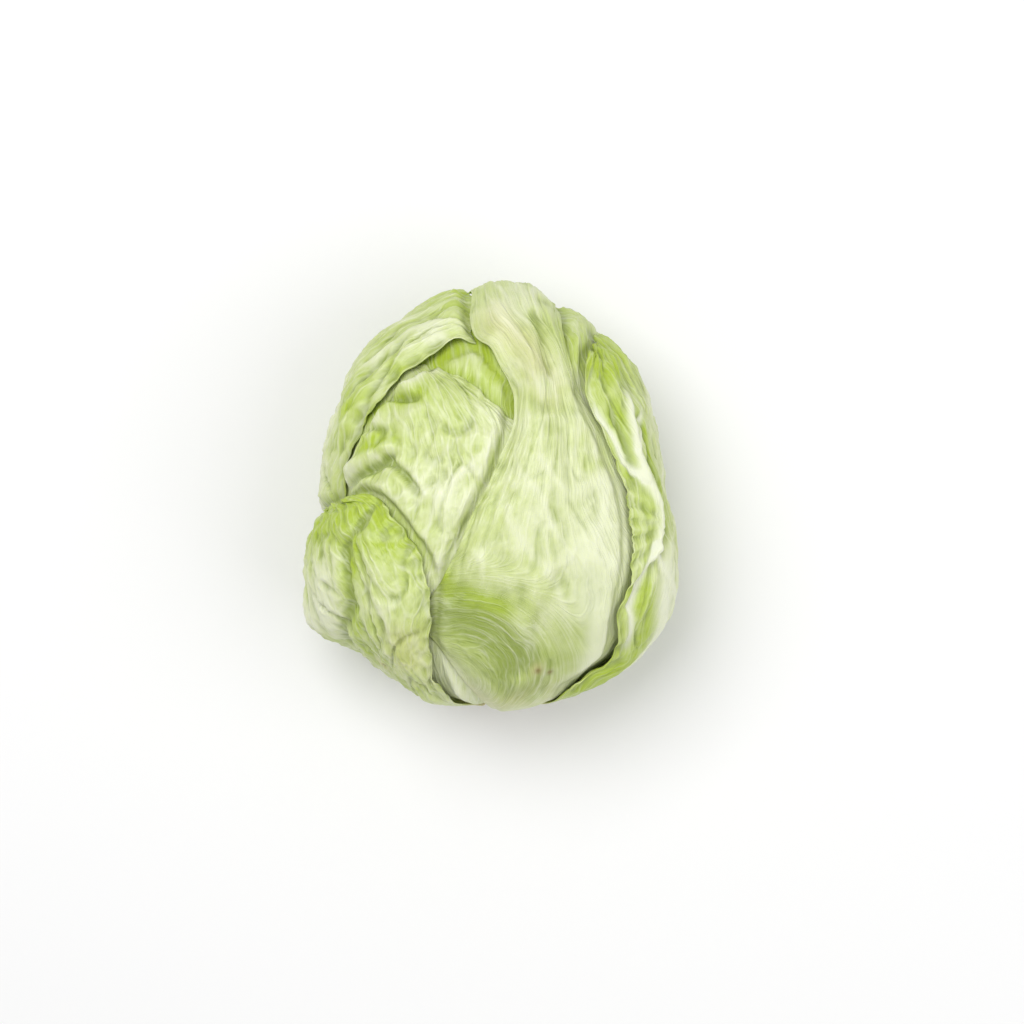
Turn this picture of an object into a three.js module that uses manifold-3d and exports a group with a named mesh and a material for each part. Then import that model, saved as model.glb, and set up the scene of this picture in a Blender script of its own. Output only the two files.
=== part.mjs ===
// An iceberg lettuce head lying on its side: a heart on its stem, and eleven large leaves wrapped round it.
// Millimetres, +Z up. The head lies on z = 0, its stem end towards -Y and its crown towards +Y. The origin is
// the middle of the flat spot that the lowest leaf is pressed to.

import * as THREE from "three";
import Module from "manifold-3d";
import { mergeVertices } from "three/addons/utils/BufferGeometryUtils.js";

const wasm = await Module();
wasm.setup();

// Driving dimensions.
const centreHeight = 56; // middle of the head above the surface it lies on
// The heart's radius seen from above, every 30 degrees from +X.
const heartPlan = [70, 72, 81, 85, 78, 70, 66, 75, 75, 83, 82, 79];
const heartTop = 48; // middle of the head to the top of the heart
const heartUnder = 52; // and to its underside, before the underside is pressed flat
const squareness = 2.25; // 2 would be an ellipsoid
const stackUnder = 12.5; // leaves between the heart and the surface it lies on
const restSpot = 30; // radius of the flat spot where the lowest leaf sags onto the surface
const pressSoftness = 6; // how gently the flat underside turns into the round sides
const swell = { height: 2.4, size: 46 }; // slow swells that run through every layer
const stemRadius = 15;
const coreRadius = 8; // the stem's inner end
const coreLength = 46; // how far the stem reaches into the heart
const stemProud = 9; // cut face beyond the heart's surface
const fitGap = 0.35; // heart to stem
const layerGap = 1.6; // air between one leaf and the next
const blade = 1.0;
const overhang = 5.5; // how far past a leaf's edge the leaf above it stays up
const dropWidth = 13; // and over how much more it comes down
const clearance = 12; // how far from the edge of a leaf over it a leaf has risen to its full height
const softEdge = 8; // how far inside its own edge it has
const chartRadius = 80; // a leaf's flat map: millimetres for one radian of the head

const stemDirection = new THREE.Vector3(0.05, -0.9, -0.43).normalize();

// Smooth noise between 0 and 1 from a hash of the corners of a unit lattice.
function corner(x, y, z, seed) {
  const s = Math.sin(x * 127.1 + y * 311.7 + z * 74.7 + seed * 53.3) * 43758.5453;
  return s - Math.floor(s);
}

function noise(x, y, z, seed) {
  const [ix, iy, iz] = [Math.floor(x), Math.floor(y), Math.floor(z)];
  const ease = (t) => t * t * (3 - 2 * t);
  const [fx, fy, fz] = [ease(x - ix), ease(y - iy), ease(z - iz)];
  let sum = 0;
  for (const [dx, wx] of [[0, 1 - fx], [1, fx]])
    for (const [dy, wy] of [[0, 1 - fy], [1, fy]])
      for (const [dz, wz] of [[0, 1 - fz], [1, fz]])
        sum += wx * wy * wz * corner(ix + dx, iy + dy, iz + dz, seed);
  return sum;
}

const clamp = (x, low, high) => Math.min(Math.max(x, low), high);
const mix = (a, b, t) => a + (b - a) * t;

function smoothstep(low, high, x) {
  const t = clamp((x - low) / (high - low), 0, 1);
  return t * t * (3 - 2 * t);
}

function smoothMin(a, b, softness) {
  const h = clamp(0.5 + (0.5 * (b - a)) / softness, 0, 1);
  return mix(b, a, h) - softness * h * (1 - h);
}

// Catmull-Rom through four values.
function cubic(a, b, c, d, t) {
  return b + 0.5 * t * (c - a + t * (2 * a - 5 * b + 4 * c - d + t * (3 * (b - c) + d - a)));
}

function planRadius(angle) {
  const n = heartPlan.length;
  const at = ((angle / (2 * Math.PI)) * n + n) % n;
  const i = Math.floor(at);
  const value = (k) => heartPlan[(k + n) % n];
  return cubic(value(i - 1), value(i), value(i + 1), value(i + 2), at - i);
}

// Distance from the head's middle to the heart's surface, before swells and pressing.
function plainRadius(d) {
  const across = Math.hypot(d.x, d.y) / planRadius(Math.atan2(d.y, d.x));
  const up = Math.abs(d.z) / (d.z > 0 ? heartTop : heartUnder);
  return (across ** squareness + up ** squareness) ** (-1 / squareness);
}

function heartRadius(d) {
  const plain = plainRadius(d);
  const k = plain / swell.size;
  const round = plain + swell.height * (2 * noise(d.x * k, d.y * k, d.z * k, 1) - 1);
  if (d.z > -0.1) return round;
  return smoothMin(round, centreHeight / -d.z - stackUnder, pressSoftness);
}

// The direction from the head's middle to a place given in plan, on the upper side (1) or the underside (-1).
function towards([x, y, side]) {
  const across = Math.min(Math.hypot(x, y) / (planRadius(Math.atan2(y, x)) + stackUnder), 1);
  const tall = side > 0 ? heartTop : heartUnder;
  const z = side * (tall + stackUnder) * (1 - across ** squareness) ** (1 / squareness);
  return new THREE.Vector3(x, y, z).normalize();
}

// A leaf's chart is a flat map of the head round the leaf's middle: y runs from the stem to the tip, x across.
function chartOf(middle) {
  const out = towards(middle);
  const up = stemDirection.clone().addScaledVector(out, -stemDirection.dot(out)).normalize().negate();
  const across = up.clone().cross(out);
  return {
    flat(d) {
      const angle = Math.acos(clamp(d.dot(out), -1, 1));
      const [sx, sy] = [d.dot(across), d.dot(up)];
      const k = (chartRadius * angle) / Math.max(Math.hypot(sx, sy), 1e-9);
      return [sx * k, sy * k];
    },
    direction([x, y]) {
      const far = Math.max(Math.hypot(x, y), 1e-9);
      const k = Math.sin(far / chartRadius) / far;
      const middle = out.clone().multiplyScalar(Math.cos(far / chartRadius));
      return middle.addScaledVector(across, x * k).addScaledVector(up, y * k);
    },
  };
}

// A smooth curve through points, with t from 0 to 1 in step with its length.
function along(points, t) {
  const sides = points.slice(1).map(([x, y], i) => Math.hypot(x - points[i][0], y - points[i][1]));
  let left = clamp(t, 0, 1) * sides.reduce((a, b) => a + b);
  let i = 0;
  while (i < sides.length - 1 && left > sides[i]) left -= sides[i++];
  const p = (k) => points[clamp(k, 0, points.length - 1)];
  return [0, 1].map((a) => cubic(p(i - 1)[a], p(i)[a], p(i + 1)[a], p(i + 2)[a], Math.min(left / sides[i], 1)));
}

// Distance from a point of a chart to the nearest of a closed outline's sides, positive inside the outline.
function depthIn(outline, [x, y]) {
  let nearest = Infinity;
  let inside = false;
  for (let i = 0, j = outline.length - 1; i < outline.length; j = i++) {
    const [[ax, ay], [bx, by]] = [outline[j], outline[i]];
    const [ex, ey] = [bx - ax, by - ay];
    const t = clamp(((x - ax) * ex + (y - ay) * ey) / (ex * ex + ey * ey + 1e-12), 0, 1);
    nearest = Math.min(nearest, Math.hypot(x - ax - t * ex, y - ay - t * ey));
    if (ay > y !== by > y && x < ax + ((y - ay) / (by - ay)) * ex) inside = !inside;
  }
  return inside ? nearest : -nearest;
}

// Every leaf, from the innermost to the outermost. Edges are given in plan, as [x, y, side], from stem to tip;
// left and right are as seen from outside with the stem down. The tip bulges past the line between the edges'
// ends. flare is how far the edge stands off, ruffle how much it waves, loft how far the blade swells off what it
// lies on and crumple how deep its own folds are. A fold is a ridge, or below zero a crease: its height, its half
// width and the points in plan that it runs through.
const leafPlans = [
  {
    name: "cap_leaf_under", middle: [0, 10, -1], tip: 45,
    flare: 0, ruffle: 0, waves: 9, crumple: 0, loft: 0, rib: 1.2,
    left: [[48, -45, -1], [68, -5, -1], [66, 40, -1], [54, 68, -1]],
    right: [[-44, -45, -1], [-62, -5, -1], [-60, 40, -1], [-52, 66, -1]],
  },
  {
    name: "cap_leaf_top", middle: [0, 10, 1], tip: 30,
    flare: 0.5, ruffle: 1, waves: 9, crumple: 1.2, loft: 0.5, rib: 1.2,
    left: [[-44, -50, 1], [-62, -8, 1], [-60, 38, 1], [-52, 62, -1]],
    right: [[46, -50, 1], [66, -5, 1], [64, 40, 1], [50, 62, -1]],
  },
  {
    name: "shoulder_leaf", middle: [54, 4, 1], tip: 30,
    flare: 1, ruffle: 1.5, waves: 13, crumple: 2.4, loft: 1, rib: 1.5,
    left: [[20, -50, 1], [18, -10, 1], [22, 35, 1], [28, 72, 1]],
    right: [[64, -50, -1], [76, -10, -1], [74, 30, -1], [56, 66, -1]],
  },
  {
    name: "right_under_leaf", middle: [42, 0, -1], tip: 32,
    flare: 1, ruffle: 1.5, waves: 11, crumple: 2, loft: 0.5, rib: 2,
    left: [[70, -50, -1], [79, -12, -1], [77, 25, -1], [62, 58, -1]],
    right: [[0, -50, -1], [-12, -10, -1], [-10, 35, -1], [8, 68, -1]],
  },
  {
    name: "left_under_leaf", middle: [-40, 0, -1], tip: 28,
    flare: 1, ruffle: 1.5, waves: 11, crumple: 2, loft: 0.5, rib: 2,
    left: [[5, -52, -1], [14, -10, -1], [10, 35, -1], [-6, 66, -1]],
    right: [[-70, -50, -1], [-77, -15, -1], [-74, 25, -1], [-58, 58, -1]],
  },
  {
    name: "left_leaf", middle: [-34, 2, 1], tip: 3,
    flare: 0.3, ruffle: 1.2, waves: 12, crumple: 2.4, loft: 2, rib: 1.8,
    left: [[-64, -56, -1], [-78, -15, -1], [-76, 30, -1], [-56, 63, -1]],
    right: [[8, -55, 1], [24, -12, 1], [20, 28, 1], [0, 50, 1], [-20, 62, 1]],
    folds: [
      [4, 5, [-72, 10], [-58, 18], [-46, 24]],
      [-4, 4, [-68, 3], [-56, 11], [-45, 18], [-32, 5]],
      [3, 5, [-56, 54], [-42, 53], [-28, 51]],
    ],
  },
  {
    name: "crown_leaf", middle: [-70, 18, -1], tip: 24,
    flare: 0.5, ruffle: 1.2, waves: 17, crumple: 2, loft: 0.8, rib: 2,
    left: [[-40, -60, -1], [-48, -20, -1], [-44, 20, -1], [-30, 55, -1], [-8, 74, -1]],
    right: [
      [-70, -45, 1], [-74, -8, 1], [-66, 22, 1], [-54, 44, 1], [-41, 58, 1], [-27, 68, 1], [-15, 74, 1],
      [-6, 77, 1],
    ],
    folds: [[3, 5, [-68, 28], [-56, 48], [-45, 60], [-35, 67], [-29, 74]]],
  },
  {
    name: "front_leaf", middle: [38, -4, 1], tip: 24,
    flare: 0.3, ruffle: 1, waves: 9, crumple: 1.2, loft: 1, rib: 2,
    left: [
      [-28, -60, 1], [-20, -34, 1], [-8, -8, 1], [4, 16, 1], [11, 38, 1], [11, 58, 1], [2, 71, 1],
      [-8, 80, 1], [-10, 97, 1],
    ],
    right: [
      [58, -68, -1], [76, -34, -1], [74, 2, 1], [62, 30, 1], [49, 46, 1], [42, 58, 1], [37, 72, 1],
      [34, 82, 1], [31, 92, 1],
    ],
    folds: [
      [2, 6, [6, 84], [16, 70], [22, 56], [26, 40]],
      [2, 5, [28, 86], [32, 70], [36, 54], [40, 40]],
    ],
  },
  {
    name: "ribbed_leaf", middle: [76, -10, 1], tip: 16,
    flare: 0.5, ruffle: 1.5, waves: 15, crumple: 2, loft: 1.8, rib: 5,
    left: [
      [36, -83, 1], [55, -72, 1], [58, -52, 1], [63, -26, 1], [62, -2, 1], [57, 16, 1], [50, 35, 1],
      [44, 51, 1], [46, 69, 1],
    ],
    right: [[36, -68, -1], [58, -38, -1], [66, 2, -1], [68, 36, -1], [66, 56, -1]],
    folds: [
      [3, 5, [64, -80], [71, -62], [76, -46], [77, -32]],
      [4, 4, [71, -22], [73, -8], [66, 9], [63, 22], [61, 36], [63, 48]],
      [-4, 4, [66, 34], [69, 18], [74, 5]],
      [2, 5, [54, 56], [52, 66]],
    ],
  },
  {
    name: "bottom_leaf", lowest: true, middle: [2, -4, -1], tip: 26,
    flare: 0, ruffle: 1, waves: 12, crumple: 1.5, loft: 0, rib: 3,
    left: [[38, -58, -1], [52, -24, -1], [53, 14, -1], [40, 50, -1]],
    right: [[-34, -58, -1], [-46, -24, -1], [-47, 14, -1], [-34, 50, -1]],
  },
  {
    name: "hood_leaf", middle: [-66, -42, 1], tip: 2,
    flare: 1, ruffle: 1.5, waves: 13, crumple: 3, loft: 2, rib: 3,
    left: [[-30, -70, -1], [-46, -60, -1], [-58, -46, -1], [-68, -28, -1], [-76, -10, -1]],
    right: [[-24, -76, 1], [-26, -60, 1], [-25, -42, 1], [-30, -25, 1], [-42, -9, 1], [-53, 2, 1], [-63, 3, 1]],
    folds: [
      [7, 11, [-72, -64], [-77, -54]],
      [-4, 5, [-62, -22], [-59, -44], [-61, -66]],
      [3, 6, [-50, -16], [-44, -34], [-43, -54]],
      [-3, 4, [-52, -2], [-58, -12], [-62, -22]],
    ],
  },
];

const stemClear = stemRadius + 2.5; // leaf bases to the stem's axis
const baseHalfWidth = 17;
const broadLeaf = 30; // a leaf narrower than this ruffles less

const leaves = leafPlans.map((plan, layer) => {
  const chart = chartOf(plan.middle);
  const [stemX, stemY] = chart.flat(stemDirection);
  const base = [-1, 1].map((side) => [stemX + side * baseHalfWidth, stemY + stemClear]);
  const left = [base[0], ...plan.left.map((p) => chart.flat(towards(p)))];
  const right = [base[1], ...plan.right.map((p) => chart.flat(towards(p)))];
  const place = (u, v) => {
    const [lx, ly] = along(left, v);
    const [rx, ry] = along(right, v);
    const t = (u + 1) / 2;
    const bulge = ((1 - u * u) ** 2 * v ** 3 * plan.tip) / Math.hypot(rx - lx, ry - ly);
    return [mix(lx, rx, t) - bulge * (ry - ly), mix(ly, ry, t) + bulge * (rx - lx)];
  };
  const steps = [...Array(20).keys()].map((i) => i / 20);
  const outline = [
    ...steps.map((t) => place(-1, t)),
    ...steps.map((t) => place(2 * t - 1, 1)),
    ...steps.map((t) => place(1, 1 - t)),
  ];
  const baseY = stemY + stemClear;
  const folds = (plan.folds ?? []).map(([height, halfWidth, ...points]) => {
    return { height, halfWidth, path: points.map(([x, y]) => chart.flat(towards([x, y, 1]))) };
  });
  return { ...plan, layer, chart, place, outline, folds, baseY, length: place(0, 1)[1] - baseY };
});

// How far a leaf is laid over the direction d: 1 inside its edge, falling to 0 past it.
function cover(leaf, d) {
  return smoothstep(-dropWidth, 0, overhang + depthIn(leaf.outline, leaf.chart.flat(d)));
}

// Blade and midrib together. The rib is thick and broad at the stem and dies out towards the tip.
function thickness(leaf, d) {
  const [x, y] = leaf.chart.flat(d);
  const gone = clamp((y - leaf.baseY) / (0.8 * leaf.length), 0, 1);
  const halfWidth = mix(13, 5, gone);
  return blade + leaf.rib * (1 - gone) * Math.exp(-((x / halfWidth) ** 2));
}

function stackUnderLeaf(leaf, d) {
  let height = 0;
  for (const inner of leaves.slice(0, leaf.layer)) {
    const share = cover(inner, d);
    if (share > 0) height += share * (layerGap + thickness(inner, d));
  }
  return height;
}

// Distance from a point of a chart to a line through points.
function distanceTo(path, [x, y]) {
  let nearest = Infinity;
  for (let i = 1; i < path.length; i++) {
    const [[ax, ay], [bx, by]] = [path[i - 1], path[i]];
    const [ex, ey] = [bx - ax, by - ay];
    const t = clamp(((x - ax) * ex + (y - ay) * ey) / (ex * ex + ey * ey), 0, 1);
    nearest = Math.min(nearest, Math.hypot(x - ax - t * ex, y - ay - t * ey));
  }
  return nearest;
}

// How far a leaf stands off what it lies on, where nothing lies over it: its edge flares and ruffles away from
// the stem and wherever the leaf is broad, and inside its edge its blade swells and crumples and its folds rise.
function lift(leaf, u, v, d) {
  let bare = 1;
  for (const outer of leaves.slice(leaf.layer + 1))
    bare *= 1 - smoothstep(-clearance, -2, depthIn(outer.outline, outer.chart.flat(d)));
  if (bare === 0) return 0;
  const at = leaf.place(u, v);
  const [[leftX, leftY], [rightX, rightY]] = [leaf.place(-1, v), leaf.place(1, v)];
  const broad = Math.min(Math.hypot(rightX - leftX, rightY - leftY) / broadLeaf, 1);
  const inwards = Math.max(depthIn(leaf.outline, at), 0);
  const within = 1 - Math.exp(-((inwards / softEdge) ** 2));
  const free = smoothstep(0.02, 0.35, (at[1] - leaf.baseY) / leaf.length);
  const edge = Math.exp(-((inwards / 15) ** 2)) * free * broad;
  const round = Math.atan2(at[0], at[1]);
  const wander = noise(d.x * 3, d.y * 3, d.z * 3, leaf.layer + 20);
  const wave = 0.5 + 0.5 * Math.sin(leaf.waves * round + 5 * wander);
  const [a, b] = [2.3, 4.9].map((k, i) => noise(d.x * k, d.y * k, d.z * k, leaf.layer * 2 + i + 40));
  const ridge = 1 - Math.abs(2 * (0.65 * a + 0.35 * b) - 1);
  let swollen = leaf.crumple * ridge ** 3 + leaf.loft * smoothstep(0.05, 0.3, v);
  for (const fold of leaf.folds)
    swollen += fold.height * Math.exp(-((distanceTo(fold.path, at) / fold.halfWidth) ** 2));
  return bare * Math.max(edge * (leaf.flare + leaf.ruffle * wave) + swollen * within, 0);
}

// A leaf's outer and inner face. Leaves start on the heart with one gap of air, none reaches below the surface
// that the head lies on, and the lowest one sags onto it.
function faces(leaf, u, v) {
  const at = leaf.place(u, v);
  const d = leaf.chart.direction(at);
  const floor = d.z < -0.1 ? centreHeight / -d.z : Infinity;
  const rest = heartRadius(d) + layerGap + stackUnderLeaf(leaf, d) + lift(leaf, u, v, d);
  const sag = leaf.lowest ? smoothstep(restSpot + 10, restSpot, Math.hypot(d.x, d.y) * floor) : 0;
  const down = sag > 0 ? sag * Math.max(floor - rest - thickness(leaf, d), 0) : 0;
  const outer = Math.min(rest + down + thickness(leaf, d), floor);
  const inner = Math.min(rest + down, outer - blade);
  return [outer, inner].map((r) => d.clone().multiplyScalar(r));
}

const columns = [-1, -0.93, -0.82, -0.67, -0.5, -0.32, -0.12, 0.12, 0.32, 0.5, 0.67, 0.82, 0.93, 1];
const rows = [...Array(20).keys()].map((i) => i * 0.0455).concat([0.9, 0.935, 0.97, 1]);

// A leaf is two grids, one for each face, joined by a strip round its edge.
function leafGeometry(leaf) {
  const width = columns.length;
  const one = width * rows.length;
  const points = [[], []];
  for (const v of rows)
    for (const u of columns) faces(leaf, u, v).forEach((p, k) => points[k].push(p.x, p.y, p.z));
  const index = [];
  const quad = (a, b, c, d) => index.push(a, b, c, a, c, d);
  for (let r = 0; r + 1 < rows.length; r++)
    for (let c = 0; c + 1 < width; c++) {
      const i = r * width + c;
      index.push(i, i + 1, i + width + 1, i, i + width + 1, i + width);
      index.push(one + i, one + i + width + 1, one + i + 1, one + i, one + i + width, one + i + width + 1);
    }
  const edge = [];
  for (let c = 0; c < width - 1; c++) edge.push(c);
  for (let r = 0; r < rows.length - 1; r++) edge.push(r * width + width - 1);
  for (let c = width - 1; c > 0; c--) edge.push((rows.length - 1) * width + c);
  for (let r = rows.length - 1; r > 0; r--) edge.push(r * width);
  edge.forEach((i, k) => {
    const next = edge[(k + 1) % edge.length];
    quad(i, one + i, one + next, next);
  });
  const geometry = new THREE.BufferGeometry();
  geometry.setAttribute("position", new THREE.Float32BufferAttribute(points.flat(), 3));
  geometry.setIndex(index);
  return geometry;
}

function solid(geometry) {
  const bare = new THREE.BufferGeometry().setAttribute("position", geometry.getAttribute("position"));
  bare.setIndex(geometry.index);
  const merged = mergeVertices(bare, 1e-4);
  const mesh = new wasm.Mesh({
    numProp: 3,
    vertProperties: new Float32Array(merged.attributes.position.array),
    triVerts: new Uint32Array(merged.index.array),
  });
  return new wasm.Manifold(mesh);
}

function geometryOf(manifold) {
  const mesh = manifold.getMesh();
  const geometry = new THREE.BufferGeometry();
  geometry.setAttribute("position", new THREE.BufferAttribute(new Float32Array(mesh.vertProperties), 3));
  geometry.setIndex([...mesh.triVerts]);
  return geometry;
}

// The stem is a cone that widens outwards from the middle of the heart to its cut face.
const stemReach = heartRadius(stemDirection) + stemProud;

function stemGeometry(extra) {
  const inner = stemReach - stemProud - coreLength - extra;
  const profile = [
    [0, inner],
    [coreRadius + extra, inner + 3],
    [stemRadius - 2 + extra, stemReach - stemProud - 8],
    [stemRadius + extra, stemReach - 2],
    [stemRadius - 1.5 + extra, stemReach + extra],
    [0, stemReach + extra],
  ];
  const points = profile.map(([x, y]) => new THREE.Vector2(x, y));
  const turned = new THREE.LatheGeometry(points, 24);
  const upright = new THREE.Quaternion().setFromUnitVectors(new THREE.Vector3(0, 1, 0), stemDirection);
  return turned.applyQuaternion(upright);
}

function heartGeometry() {
  const ball = new THREE.IcosahedronGeometry(1, 7);
  const position = ball.getAttribute("position");
  const d = new THREE.Vector3();
  for (let i = 0; i < position.count; i++) {
    d.fromBufferAttribute(position, i).normalize();
    d.multiplyScalar(heartRadius(d));
    position.setXYZ(i, d.x, d.y, d.z);
  }
  const whole = mergeVertices(new THREE.BufferGeometry().setAttribute("position", position), 1e-3);
  return geometryOf(solid(whole).subtract(solid(mergeVertices(stemGeometry(fitGap), 1e-3))));
}

const heartMaterial = new THREE.MeshStandardMaterial({ color: 0xdfe8b4, roughness: 0.5, metalness: 0 });
const stemMaterial = new THREE.MeshStandardMaterial({ color: 0xe6dcc0, roughness: 0.7, metalness: 0 });
const innerLeafMaterial = new THREE.MeshStandardMaterial({ color: 0xc3d47e, roughness: 0.45, metalness: 0 });
const outerLeafMaterial = new THREE.MeshStandardMaterial({ color: 0xb5ca78, roughness: 0.4, metalness: 0 });

const lettuce = new THREE.Group();
lettuce.position.z = centreHeight;

function add(name, geometry, material) {
  const mesh = new THREE.Mesh(geometry, material);
  mesh.name = name;
  lettuce.add(mesh);
}

add("stem", stemGeometry(0), stemMaterial);
add("heart", heartGeometry(), heartMaterial);
for (const leaf of leaves) {
  const inner = leaf.layer < 3;
  add(leaf.name, leafGeometry(leaf), inner ? innerLeafMaterial : outerLeafMaterial);
}

export default lettuce;
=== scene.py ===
import bmesh
import bpy
import numpy as np
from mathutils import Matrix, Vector


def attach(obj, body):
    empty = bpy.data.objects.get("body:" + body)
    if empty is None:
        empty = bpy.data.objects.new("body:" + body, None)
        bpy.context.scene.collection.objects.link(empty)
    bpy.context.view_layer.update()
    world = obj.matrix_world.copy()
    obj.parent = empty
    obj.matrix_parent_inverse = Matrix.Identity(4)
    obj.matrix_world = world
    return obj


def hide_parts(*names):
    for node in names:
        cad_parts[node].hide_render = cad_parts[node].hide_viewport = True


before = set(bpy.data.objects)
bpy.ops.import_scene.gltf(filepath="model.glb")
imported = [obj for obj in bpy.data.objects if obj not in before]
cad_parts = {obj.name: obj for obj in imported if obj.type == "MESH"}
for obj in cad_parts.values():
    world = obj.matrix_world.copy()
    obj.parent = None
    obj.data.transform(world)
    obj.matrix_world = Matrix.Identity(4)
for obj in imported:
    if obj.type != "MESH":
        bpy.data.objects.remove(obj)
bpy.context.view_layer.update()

# The heart: dozens of small leaves pressed into one firm, pale ball. It gives the head its form, and every
# leaf outside it lies on it, so all surfaces here are distances from the head's middle along a direction.
mm = 0.001
centre_height = 56
heart_plan = [70, 72, 81, 85, 78, 70, 66, 75, 75, 83, 82, 79]  # radius from above, every 30 degrees from +X
heart_top = 48
heart_under = 52
squareness = 2.25
stack_under = 12.5  # leaves between the heart and the surface it lies on
press_softness = 6
swell_height = 2.4
swell_size = 46
least_fall = 0.1  # directions that fall less than this are not pressed by the surface
stem_axis = np.array([0.05, -0.9, -0.43]) / np.linalg.norm([0.05, -0.9, -0.43])
heart_rows = 90
heart_columns = 150
heart_pale = (0.72, 0.78, 0.45, 1)
heart_white = (0.84, 0.86, 0.66, 1)


def noise(points, seed):
    """Smooth noise from 0 to 1. Each corner of a unit lattice has the broken part of a large sine, and the
    values are eased from one corner to the next."""
    cell = np.floor(points)
    inside = points - cell
    eased = inside**2 * (3 - 2 * inside)
    total = 0
    for corner in np.ndindex(2, 2, 2):
        large = np.sin((cell + corner) @ [127.1, 311.7, 74.7] + seed * 53.3) * 43758.5453
        weight = np.where(corner, eased, 1 - eased).prod(axis=-1)
        total = total + weight * (large - np.floor(large))
    return total


def smoothstep(low, high, x):
    """0 below low, 1 above high, and an S curve between."""
    t = np.clip((x - low) / (high - low), 0, 1)
    return t * t * (3 - 2 * t)


def smooth_min(a, b, softness):
    """The smaller of a and b, blended where they are nearer to each other than softness."""
    h = np.clip(0.5 + 0.5 * (b - a) / softness, 0, 1)
    return b + (a - b) * h - softness * h * (1 - h)


def cubic(a, b, c, d, t):
    """Catmull-Rom curve from b (t = 0) to c (t = 1)."""
    return b + 0.5 * t * (c - a + t * (2 * a - 5 * b + 4 * c - d + t * (3 * (b - c) + d - a)))


def plan_radius(angle):
    """The heart's radius seen from above: a closed smooth curve through heart_plan."""
    ring = np.array(heart_plan, float)
    at = angle / (2 * np.pi) * len(ring) % len(ring)
    i = np.floor(at).astype(int)
    near = [ring[(i + k) % len(ring)] for k in (-1, 0, 1, 2)]
    return cubic(*near, at - i)


def surface_reach(d):
    """Distance along a falling direction to the surface the head lies on."""
    return centre_height / np.maximum(-d[..., 2], least_fall)


def heart_radius(d):
    """A squarish ellipsoid on the plan outline with slow swells, its underside pressed flat."""
    across = np.hypot(d[..., 0], d[..., 1]) / plan_radius(np.arctan2(d[..., 1], d[..., 0]))
    up = np.abs(d[..., 2]) / np.where(d[..., 2] > 0, heart_top, heart_under)
    plain = (across**squareness + up**squareness) ** (-1 / squareness)
    swells = 2 * noise(d * (plain / swell_size)[..., None], 1) - 1
    rounded = plain + swell_height * swells
    pressed = smooth_min(rounded, surface_reach(d) - stack_under, press_softness)
    return np.where(d[..., 2] > -least_fall, rounded, pressed)


def add_surface(name, points, faces, material, uv=None, **attributes):
    """A smooth mesh object from points in millimetres round the head's middle, with point attributes."""
    placed = (points.reshape(-1, 3) + [0, 0, centre_height]) * mm
    mesh = bpy.data.meshes.new(name)
    mesh.vertices.add(len(placed))
    mesh.vertices.foreach_set("co", placed.ravel())
    mesh.loops.add(faces.size)
    mesh.loops.foreach_set("vertex_index", faces.ravel())
    mesh.polygons.add(len(faces))
    mesh.polygons.foreach_set("loop_start", np.arange(0, faces.size, faces.shape[1]))
    mesh.update(calc_edges=True)
    mesh.shade_smooth()
    if uv is not None:
        layer = mesh.uv_layers.new(name="leaf")
        layer.uv.foreach_set("vector", uv.reshape(-1, 2)[faces.ravel()].ravel())
    for key, values in attributes.items():
        made = mesh.attributes.new(key, "FLOAT", "POINT")
        made.data.foreach_set("value", values.ravel().astype(np.float32))
    mesh.materials.append(material)
    obj = bpy.data.objects.new(name, mesh)
    bpy.context.scene.collection.objects.link(obj)
    return obj


def grid_faces(rows, columns, start=0):
    """Quads of a grid of points numbered row by row."""
    i = (np.arange(rows - 1)[:, None] * columns + np.arange(columns - 1)).ravel() + start
    return np.stack([i, i + 1, i + columns + 1, i + columns], axis=1)


def weld(obj):
    """Joins points that lie together, which closes a grid's seam and its poles."""
    made = bmesh.new()
    made.from_mesh(obj.data)
    bmesh.ops.remove_doubles(made, verts=made.verts, dist=1e-6)
    made.to_mesh(obj.data)
    made.free()


class Socket:
    """A shader value; arithmetic on it adds Math nodes."""

    def __init__(self, material, link):
        self.material = material
        self.link = link

    def math(self, operation, *values):
        return self.material.node("ShaderNodeMath", {"operation": operation}, values)[0]

    def __add__(self, other):
        return self.math("ADD", self, other)

    def __sub__(self, other):
        return self.math("SUBTRACT", self, other)

    def __mul__(self, other):
        return self.math("MULTIPLY", self, other)

    def __rsub__(self, other):
        return self.math("SUBTRACT", other, self)

    __radd__ = __add__
    __rmul__ = __mul__

    def magnitude(self):
        return self.math("ABSOLUTE", self)

    def clamped(self, low, high):
        return self.math("MINIMUM", self.math("MAXIMUM", self, low), high)

    def rising(self, low, high):
        """0 below low, 1 above high, with an eased rise between."""
        settings = {"interpolation_type": "SMOOTHSTEP"}
        values = {"Value": self, "From Min": low, "From Max": high}
        return self.material.node("ShaderNodeMapRange", settings, values)[0]


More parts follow.
